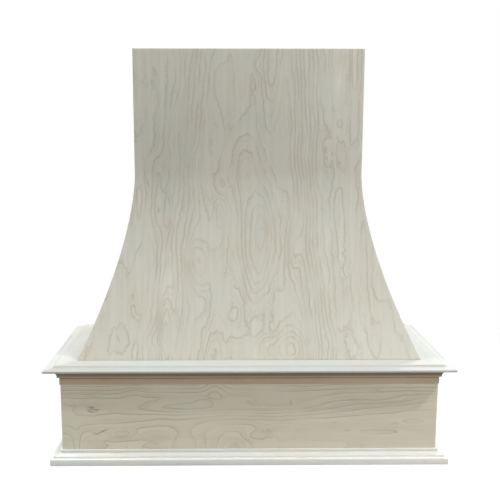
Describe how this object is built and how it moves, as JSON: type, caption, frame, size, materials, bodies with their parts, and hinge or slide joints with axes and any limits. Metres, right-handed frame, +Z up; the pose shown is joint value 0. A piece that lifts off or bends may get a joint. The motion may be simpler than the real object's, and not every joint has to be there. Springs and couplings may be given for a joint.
{
  "type": "wooden range hood cover",
  "caption": "Maple range hood cover: a mitred plywood chimney that sweeps out over a moulded ledge and apron box, on ribs and rails, open at the back, top and bottom.",
  "frame": {"origin": "centre of the object's box at the underside of the base moulding", "axes": "+X to the right seen from the front, +Y towards the wall that the back rests on, +Z up"},
  "size_m": [1.054, 0.508, 1.067],
  "materials": {
    "maple_panel": "unfinished rotary-cut maple veneer, vertical grain",
    "maple_apron": "unfinished maple veneer, horizontal grain",
    "maple_cove": "unfinished solid maple moulding",
    "maple_board": "unfinished solid maple, sanded",
    "plywood": "birch plywood with bare plies on the edges",
    "poplar": "planed poplar",
    "zinc_steel": "yellow zinc plate"
  },
  "bodies": {
    "root": {"apron_front": "maple_apron", "apron_left": "maple_apron", "apron_right": "maple_apron", "base_moulding_front": "maple_board", "base_moulding_left": "maple_board", "base_moulding_right": "maple_board", "bottom_back_rail": "poplar", "bottom_back_rail_screw_left": "zinc_steel", "bottom_back_rail_screw_right": "zinc_steel", "corner_post_left": "poplar", "corner_post_right": "poplar", "cove_moulding_front": "maple_cove", "cove_moulding_left": "maple_cove", "cove_moulding_right": "maple_cove", "glue_block_left": "poplar", "glue_block_right": "poplar", "ledge_cleat_front": "poplar", "ledge_cleat_left": "poplar", "ledge_cleat_right": "poplar", "ledge_front": "maple_board", "ledge_left": "maple_board", "ledge_right": "maple_board", "liner_cleat_front": "poplar", "liner_cleat_left": "poplar", "liner_cleat_right": "poplar", "lower_hanging_rail": "poplar", "lower_hanging_rail_screw_left_lower": "zinc_steel", "lower_hanging_rail_screw_left_upper": "zinc_steel", "lower_hanging_rail_screw_right_lower": "zinc_steel", "lower_hanging_rail_screw_right_upper": "zinc_steel", "rear_post_left": "poplar", "rear_post_right": "poplar", "rib_front_centre": "plywood", "rib_front_left": "plywood", "rib_front_right": "plywood", "rib_left_middle": "plywood", "rib_left_rear": "plywood", "rib_right_middle": "plywood", "rib_right_rear": "plywood", "sweep_foot_rail_back": "poplar", "sweep_foot_rail_front": "poplar", "sweep_foot_rail_left": "poplar", "sweep_foot_rail_right": "poplar", "sweep_foot_rail_screw_left": "zinc_steel", "sweep_foot_rail_screw_right": "zinc_steel", "sweep_panel_front": "maple_panel", "sweep_panel_left": "maple_panel", "sweep_panel_right": "maple_panel", "top_rail_front": "poplar", "top_rail_left": "poplar", "top_rail_right": "poplar", "upper_hanging_rail": "poplar", "upper_hanging_rail_screw_left_lower": "zinc_steel", "upper_hanging_rail_screw_left_upper": "zinc_steel", "upper_hanging_rail_screw_right_lower": "zinc_steel", "upper_hanging_rail_screw_right_upper": "zinc_steel", "waist_rail_front": "poplar", "waist_rail_left": "poplar", "waist_rail_right": "poplar"}
  },
  "joints": []
}
